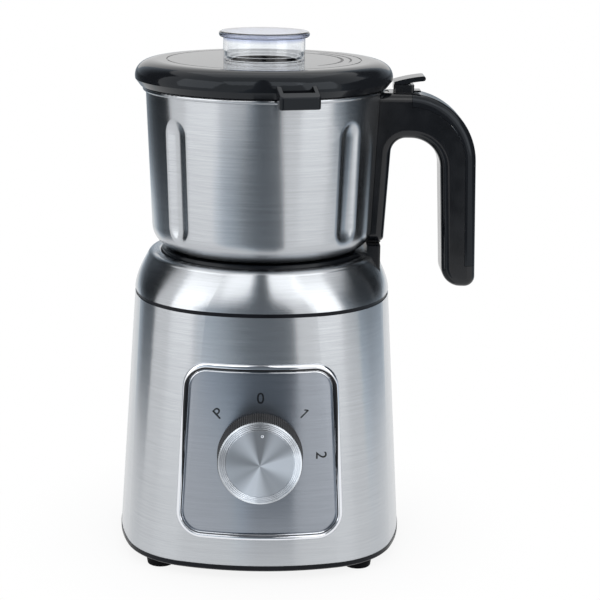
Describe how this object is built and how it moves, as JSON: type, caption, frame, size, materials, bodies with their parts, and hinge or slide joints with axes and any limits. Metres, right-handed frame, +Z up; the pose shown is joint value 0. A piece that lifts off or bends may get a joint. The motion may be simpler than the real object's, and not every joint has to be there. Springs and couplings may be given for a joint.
{
  "type": "kitchen grinding mill",
  "caption": "Countertop grinding mill: brushed steel motor base with a rotary dial, lift-off steel bowl with handle, twin-level blade, black lid and clear feeder cap.",
  "frame": {"origin": "centre of the flat underside of the bottom cover, on the axis of the bowl; the feet hang 5 mm below it", "axes": "+Z up along the bowl's axis, -Y out of the control panel, +X towards the handle"},
  "size_m": [0.1901, 0.1706, 0.2758],
  "materials": {
    "brushed_steel": "cold rolled stainless steel with a fine brushed grain",
    "panel_metal": "horizontally brushed plate, a little darker than the housing",
    "chrome_trim": "bright chromed frame",
    "spun_metal": "spun aluminium with fine concentric turning marks",
    "gloss_black": "polished black moulding",
    "satin_black": "fine grained black moulding",
    "charcoal": "dark grey moulding",
    "clear_plastic": "clear moulding with polished faces",
    "rubber": "moulded rubber",
    "seal_rubber": "grey silicone",
    "turned_steel": "turned and ground steel",
    "sheet_iron": "stacked and varnished sheet iron",
    "cast_aluminium": "as cast aluminium",
    "copper": "varnished copper wire",
    "carbon": "pressed carbon",
    "moulded_grey": "plain grey moulding inside the base",
    "board_green": "lacquered circuit board"
  },
  "bodies": {
    "base": {"bottom_cover": "charcoal", "feet": "rubber", "foot_screws": "turned_steel", "cover_screws": "turned_steel", "base_housing": "brushed_steel", "cord_gland": "satin_black", "chassis": "moulded_grey", "seam_ring": "charcoal", "shoulder_shell": "brushed_steel", "top_collar": "satin_black", "collar_screws": "turned_steel", "control_panel": "panel_metal", "panel_bezel": "chrome_trim", "panel_backing": "moulded_grey", "switch_body": "moulded_grey", "switch_nut": "turned_steel", "motor_stator": "sheet_iron", "field_windings": "copper", "upper_bracket": "cast_aluminium", "lower_bracket": "cast_aluminium", "motor_bearings": "turned_steel", "brush_holders": "copper", "carbon_brushes": "carbon", "motor_mounts": "rubber", "motor_screws": "turned_steel", "interlock_switch": "moulded_grey", "circuit_board": "board_green"},
    "rotor": {"motor_shaft": "turned_steel", "rotor_core": "sheet_iron", "rotor_windings": "copper", "commutator": "copper", "cooling_fan": "moulded_grey", "drive_coupling": "moulded_grey"},
    "knob": {"knob_body": "spun_metal", "knob_face": "spun_metal", "switch_spindle": "turned_steel"},
    "plunger": {"interlock_plunger": "satin_black"},
    "bowl": {"grinding_bowl": "brushed_steel", "bowl_base_ring": "charcoal", "blade_bearing": "turned_steel", "bearing_nut": "turned_steel", "shaft_seal": "rubber", "handle_body": "satin_black", "handle_cover": "gloss_black", "handle_lugs": "turned_steel", "handle_screws": "turned_steel", "latch_tower": "satin_black", "latch_pin": "satin_black"},
    "blade": {"blade_shaft": "turned_steel", "driven_coupling": "moulded_grey", "blade_spacers": "turned_steel", "lower_blade": "turned_steel", "upper_blade": "turned_steel", "blade_nut": "turned_steel"},
    "latch": {"latch_lever": "gloss_black"},
    "rod": {"interlock_rod": "satin_black"},
    "seal": {"lid_seal": "seal_rubber"},
    "lid": {"lid_cover": "gloss_black", "lid_plate": "satin_black"},
    "cap": {"feeder_cap": "clear_plastic"}
  },
  "joints": [
    {"name": "rotor_spin", "type": "hinge", "parent": "base", "child": "rotor", "pos_m": [0, 0, 0.063], "axis": [0, 0, 1], "continuous": true},
    {"name": "knob_turn", "type": "hinge", "parent": "base", "child": "knob", "pos_m": [0, -0.07215, 0.0625], "axis": [0, 0.998, -0.063], "range_deg": [-45, 90]},
    {"name": "plunger_press", "type": "slide", "parent": "base", "child": "plunger", "axis": [0, 0, -1], "range_m": [0, 0.004], "stiffness_N_per_m": 300, "springref_m": -0.002},
    {"name": "bowl_lift", "type": "slide", "parent": "base", "child": "bowl", "axis": [0, 0, 1], "range_m": [0, 0.08]},
    {"name": "blade_spin", "type": "hinge", "parent": "bowl", "child": "blade", "pos_m": [0, 0, 0.16], "axis": [0, 0, 1], "continuous": true},
    {"name": "latch_press", "type": "hinge", "parent": "bowl", "child": "latch", "pos_m": [0.0738, 0, 0.2426], "axis": [0, 1, 0], "range_deg": [0, 15], "stiffness_Nm_per_rad": 0.3, "springref_deg": -11.46},
    {"name": "rod_press", "type": "slide", "parent": "bowl", "child": "rod", "axis": [0, 0, -1], "range_m": [0, 0.004], "stiffness_N_per_m": 300, "springref_m": -0.002},
    {"name": "lid_lift", "type": "slide", "parent": "bowl", "child": "seal", "axis": [0, 0, 1], "range_m": [0, 0.06]},
    {"name": "lid_turn", "type": "hinge", "parent": "seal", "child": "lid", "pos_m": [0, 0, 0.243], "axis": [0, 0, 1], "range_deg": [-264, 52]},
    {"name": "cap_lift", "type": "slide", "parent": "lid", "child": "cap", "axis": [0, 0, 1], "range_m": [0, 0.06]}
  ],
  "couplings": [
    {"joint": "blade_spin", "follows": "rotor_spin", "ratio": 1},
    {"joint": "plunger_press", "follows": "rod_press", "ratio": 1}
  ]
}
